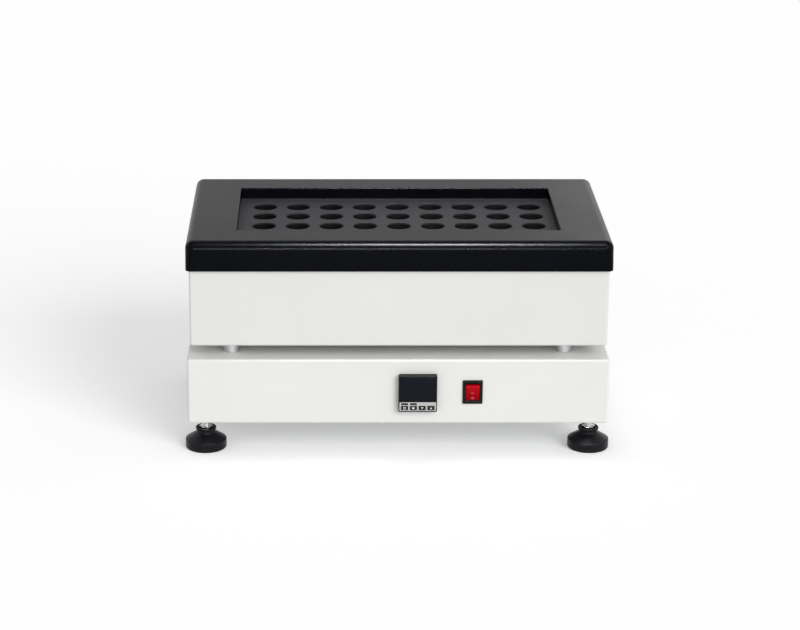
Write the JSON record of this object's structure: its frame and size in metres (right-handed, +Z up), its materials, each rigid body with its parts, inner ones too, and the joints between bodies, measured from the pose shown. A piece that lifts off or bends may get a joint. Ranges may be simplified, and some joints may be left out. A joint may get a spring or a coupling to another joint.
{
  "type": "block digester",
  "caption": "Heated graphite block with wells under a black frame, on a white control base with a temperature controller, rocker switch and levelling feet.",
  "frame": {"origin": "on the resting plane under the middle of the object", "axes": "+X to the right of the operator, +Y to the back, +Z up; the controls face -Y"},
  "size_m": [0.537, 0.3172, 0.279],
  "materials": {
    "black_coated_metal": "satin",
    "white_powder_coat": "satin",
    "zinc_sheet": "satin",
    "stainless_sheet": "satin",
    "graphite": "matte",
    "mica": "satin",
    "ceramic_board": "matte",
    "silicone": "matte",
    "bright_steel": "polished",
    "zinc_fasteners": "satin",
    "black_moulding": "satin",
    "black_foot": "satin",
    "dark_window": "gloss",
    "grey_strip": "satin",
    "key_black": "satin",
    "red_moulding": "gloss",
    "brass_contacts": "satin",
    "plain_aluminium": "satin",
    "relay_moulding": "satin",
    "fuse_glass": "gloss",
    "lead_insulation": "satin"
  },
  "bodies": {
    "root": {"top_frame": "black_coated_metal", "upper_shell": "white_powder_coat", "upper_floor": "white_powder_coat", "base_shell": "white_powder_coat", "back_panel": "white_powder_coat", "bottom_plate": "zinc_sheet", "inner_tray": "stainless_sheet", "heater_clamp_plate": "stainless_sheet", "graphite_block": "graphite", "block_floor": "graphite", "heater_panel": "mica", "side_boards": "ceramic_board", "end_boards": "ceramic_board", "floor_board": "ceramic_board", "block_seal": "silicone", "spacer_pillars": "bright_steel", "lead_conduit": "bright_steel", "conduit_nuts": "bright_steel", "temperature_probe": "bright_steel", "foot_lock_nuts": "bright_steel", "shell_screws": "zinc_fasteners", "inlet_screws": "zinc_fasteners", "relay_screws": "zinc_fasteners", "upper_box_screws": "zinc_fasteners", "clamp_screws": "zinc_fasteners", "pillar_bolts": "zinc_fasteners", "pillar_nuts": "zinc_fasteners", "controller_bezel": "black_moulding", "controller_case": "black_moulding", "controller_clamp": "black_moulding", "switch_body": "black_moulding", "power_inlet": "black_moulding", "fuse_holder": "black_moulding", "display_window": "dark_window", "key_strip": "grey_strip", "switch_tabs": "brass_contacts", "inlet_pins": "brass_contacts", "earth_stud": "brass_contacts", "relay_heatsink": "plain_aluminium", "tray_spacers": "plain_aluminium", "solid_state_relay": "relay_moulding", "terminal_strip": "relay_moulding", "fuse_link": "fuse_glass", "sensor_lead": "lead_insulation", "heater_leads": "lead_insulation", "mains_leads": "lead_insulation"},
    "rocker": {"rocker": "red_moulding"},
    "fuse_cap": {"fuse_cap": "black_moulding"},
    "key_1": {"key_1": "key_black"},
    "key_2": {"key_2": "key_black"},
    "key_3": {"key_3": "key_black"},
    "key_4": {"key_4": "key_black"},
    "foot_pad_fl": {"foot_pad_fl": "black_foot"},
    "foot_stud_fl": {"foot_stud_fl": "bright_steel"},
    "foot_pad_fr": {"foot_pad_fr": "black_foot"},
    "foot_stud_fr": {"foot_stud_fr": "bright_steel"},
    "foot_pad_rl": {"foot_pad_rl": "black_foot"},
    "foot_stud_rl": {"foot_stud_rl": "bright_steel"},
    "foot_pad_rr": {"foot_pad_rr": "black_foot"},
    "foot_stud_rr": {"foot_stud_rr": "bright_steel"}
  },
  "joints": [
    {"name": "rocker_tilt", "type": "hinge", "parent": "root", "child": "rocker", "pos_m": [0.0929, -0.147, 0.0847], "axis": [-1, 0, 0], "range_deg": [0, 22]},
    {"name": "key_1_press", "type": "slide", "parent": "root", "child": "key_1", "axis": [0, 1, 0], "range_m": [0, 0.0006], "stiffness_N_per_m": 800},
    {"name": "key_2_press", "type": "slide", "parent": "root", "child": "key_2", "axis": [0, 1, 0], "range_m": [0, 0.0006], "stiffness_N_per_m": 800},
    {"name": "key_3_press", "type": "slide", "parent": "root", "child": "key_3", "axis": [0, 1, 0], "range_m": [0, 0.0006], "stiffness_N_per_m": 800},
    {"name": "key_4_press", "type": "slide", "parent": "root", "child": "key_4", "axis": [0, 1, 0], "range_m": [0, 0.0006], "stiffness_N_per_m": 800},
    {"name": "fuse_cap_turn", "type": "hinge", "parent": "root", "child": "fuse_cap", "pos_m": [-0.12, 0.1538, 0.086], "axis": [0, 1, 0], "range_deg": [0, 60]},
    {"name": "foot_height_fl", "type": "slide", "parent": "root", "child": "foot_pad_fl", "axis": [0, 0, -1], "range_m": [0, 0.012]},
    {"name": "foot_screw_fl", "type": "hinge", "parent": "foot_pad_fl", "child": "foot_stud_fl", "pos_m": [-0.2425, -0.12, 0], "axis": [0, 0, -1], "range_deg": [0, 2880]},
    {"name": "foot_height_fr", "type": "slide", "parent": "root", "child": "foot_pad_fr", "axis": [0, 0, -1], "range_m": [0, 0.012]},
    {"name": "foot_screw_fr", "type": "hinge", "parent": "foot_pad_fr", "child": "foot_stud_fr", "pos_m": [0.2425, -0.12, 0], "axis": [0, 0, -1], "range_deg": [0, 2880]},
    {"name": "foot_height_rl", "type": "slide", "parent": "root", "child": "foot_pad_rl", "axis": [0, 0, -1], "range_m": [0, 0.012]},
    {"name": "foot_screw_rl", "type": "hinge", "parent": "foot_pad_rl", "child": "foot_stud_rl", "pos_m": [-0.2425, 0.12, 0], "axis": [0, 0, -1], "range_deg": [0, 2880]},
    {"name": "foot_height_rr", "type": "slide", "parent": "root", "child": "foot_pad_rr", "axis": [0, 0, -1], "range_m": [0, 0.012]},
    {"name": "foot_screw_rr", "type": "hinge", "parent": "foot_pad_rr", "child": "foot_stud_rr", "pos_m": [0.2425, 0.12, 0], "axis": [0, 0, -1], "range_deg": [0, 2880]}
  ],
  "couplings": [
    {"joint": "foot_screw_fl", "follows": "foot_height_fl", "rad_per_m": 4188.8},
    {"joint": "foot_screw_fr", "follows": "foot_height_fr", "rad_per_m": 4188.8},
    {"joint": "foot_screw_rl", "follows": "foot_height_rl", "rad_per_m": 4188.8},
    {"joint": "foot_screw_rr", "follows": "foot_height_rr", "rad_per_m": 4188.8}
  ]
}
